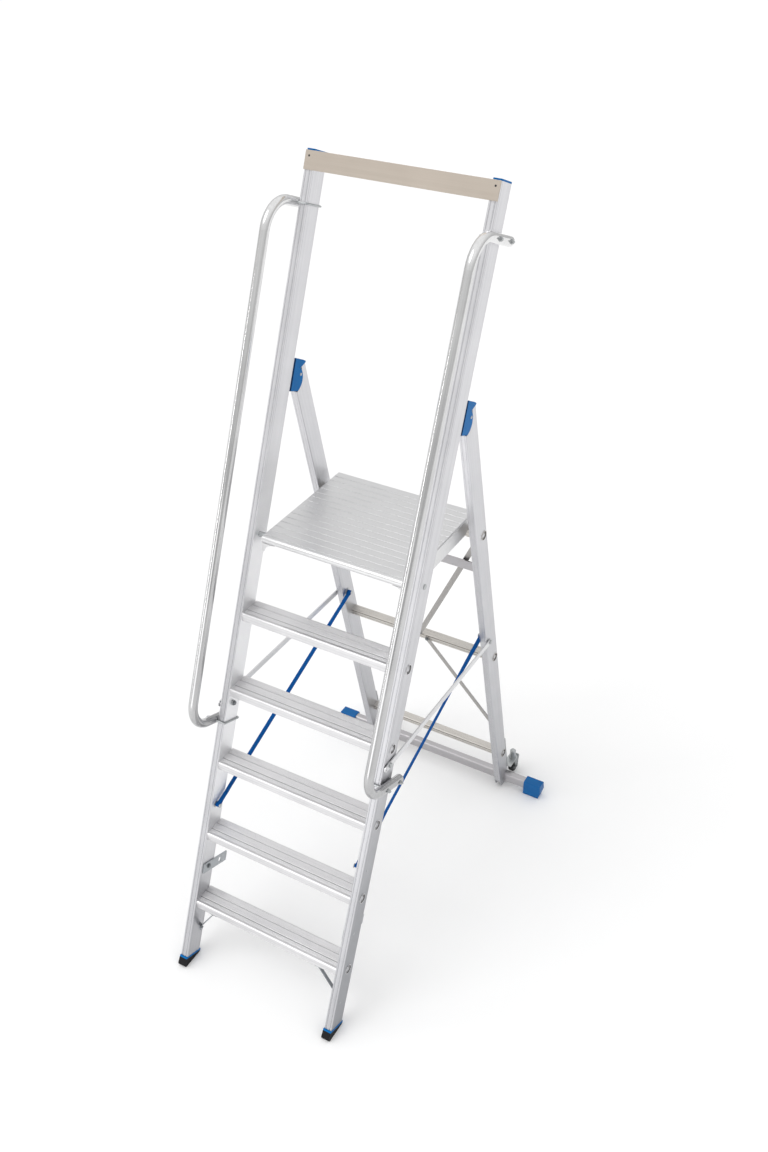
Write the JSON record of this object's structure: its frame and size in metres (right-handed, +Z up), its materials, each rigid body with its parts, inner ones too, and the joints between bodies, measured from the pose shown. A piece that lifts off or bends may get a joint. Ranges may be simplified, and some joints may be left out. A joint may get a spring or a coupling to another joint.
{
  "type": "podium step",
  "caption": "Folding aluminium platform step with a guard frame, bent-tube handrails, hinged rear legs, side struts, straps and a wide stabiliser foot.",
  "frame": {"origin": "on the floor, in the middle of the bounding box, with the step opened for use", "axes": "+X to the user's right when climbing, +Y from the user's side to the rear legs, +Z up"},
  "size_m": [0.902, 1.4288, 2.4416],
  "materials": {
    "bare_aluminium": "extruded, satin",
    "warm_aluminium": "anodised, satin, slightly warm",
    "blue_plastic": "moulded, fine grain",
    "strap_webbing": "woven webbing",
    "black_rubber": "moulded",
    "zinc_steel": "zinc plated"
  },
  "bodies": {
    "front_frame": {"left_stile": "bare_aluminium", "right_stile": "bare_aluminium", "tread_1": "bare_aluminium", "tread_2": "bare_aluminium", "tread_3": "bare_aluminium", "tread_4": "bare_aluminium", "tread_5": "bare_aluminium", "top_bar": "warm_aluminium", "left_stile_cap": "blue_plastic", "right_stile_cap": "blue_plastic", "left_foot": "blue_plastic", "right_foot": "blue_plastic", "left_sole": "black_rubber", "right_sole": "black_rubber", "left_handrail": "bare_aluminium", "right_handrail": "bare_aluminium", "handrail_u_bolts": "zinc_steel", "handrail_clamp_nuts": "zinc_steel", "knee_braces": "bare_aluminium", "catch_plates": "bare_aluminium", "left_hinge_bracket": "blue_plastic", "right_hinge_bracket": "blue_plastic", "hinge_pins": "zinc_steel", "strut_bolts": "zinc_steel", "strap_anchors": "zinc_steel", "platform_pivot_bolts": "zinc_steel", "left_strap": "strap_webbing", "right_strap": "strap_webbing"},
    "platform": {"platform_deck": "bare_aluminium", "platform_nosing": "bare_aluminium", "platform_bearer": "warm_aluminium", "left_platform_side": "bare_aluminium", "right_platform_side": "bare_aluminium"},
    "rear_frame": {"left_rear_leg": "bare_aluminium", "right_rear_leg": "bare_aluminium", "left_leg_plug": "blue_plastic", "right_leg_plug": "blue_plastic", "upper_rung": "warm_aluminium", "middle_rung": "warm_aluminium", "lower_rung": "warm_aluminium", "crossbar": "bare_aluminium", "upper_diagonal": "bare_aluminium", "lower_diagonal": "bare_aluminium", "traverse": "bare_aluminium", "left_traverse_cap": "blue_plastic", "right_traverse_cap": "blue_plastic", "castor_brackets": "zinc_steel", "castor_stem_nuts": "zinc_steel", "strut_studs": "zinc_steel", "strap_eyes": "zinc_steel"},
    "left_strut": {"left_strut": "bare_aluminium"},
    "right_strut": {"right_strut": "bare_aluminium"},
    "left_castor": {"left_castor_fork": "zinc_steel", "left_castor_axle": "zinc_steel"},
    "right_castor": {"right_castor_fork": "zinc_steel", "right_castor_axle": "zinc_steel"},
    "left_wheel": {"left_castor_wheel": "black_rubber"},
    "right_wheel": {"right_castor_wheel": "black_rubber"}
  },
  "joints": [
    {"name": "rear_fold", "type": "hinge", "parent": "front_frame", "child": "rear_frame", "pos_m": [0, 0.09757, 1.81], "axis": [1, 0, 0], "range_deg": [-35.5, 0], "deforming": ["left_strap", "right_strap"]},
    {"name": "platform_fold", "type": "hinge", "parent": "front_frame", "child": "platform", "pos_m": [0, -0.13045, 1.398], "axis": [1, 0, 0], "range_deg": [0, 68.5]},
    {"name": "left_strut_swing", "type": "hinge", "parent": "front_frame", "child": "left_strut", "pos_m": [-0.2995, -0.33597, 0.88294], "axis": [1, 0, 0], "range_deg": [0, 69]},
    {"name": "right_strut_swing", "type": "hinge", "parent": "front_frame", "child": "right_strut", "pos_m": [0.2995, -0.33597, 0.88294], "axis": [1, 0, 0], "range_deg": [0, 69]},
    {"name": "left_castor_swivel", "type": "hinge", "parent": "rear_frame", "child": "left_castor", "pos_m": [-0.292, 0.67086, 0.078], "axis": [0, 0, 1], "continuous": true},
    {"name": "right_castor_swivel", "type": "hinge", "parent": "rear_frame", "child": "right_castor", "pos_m": [0.292, 0.67086, 0.078], "axis": [0, 0, 1], "continuous": true},
    {"name": "left_wheel_spin", "type": "hinge", "parent": "left_castor", "child": "left_wheel", "pos_m": [-0.292, 0.68486, 0.03], "axis": [1, 0, 0], "continuous": true},
    {"name": "right_wheel_spin", "type": "hinge", "parent": "right_castor", "child": "right_wheel", "pos_m": [0.292, 0.68486, 0.03], "axis": [1, 0, 0], "continuous": true}
  ],
  "couplings": [
    {"joint": "platform_fold", "follows": "rear_fold", "ratio": -1.9155},
    {"joint": "left_strut_swing", "follows": "rear_fold", "ratio": -1.9324},
    {"joint": "right_strut_swing", "follows": "rear_fold", "ratio": -1.9324}
  ]
}
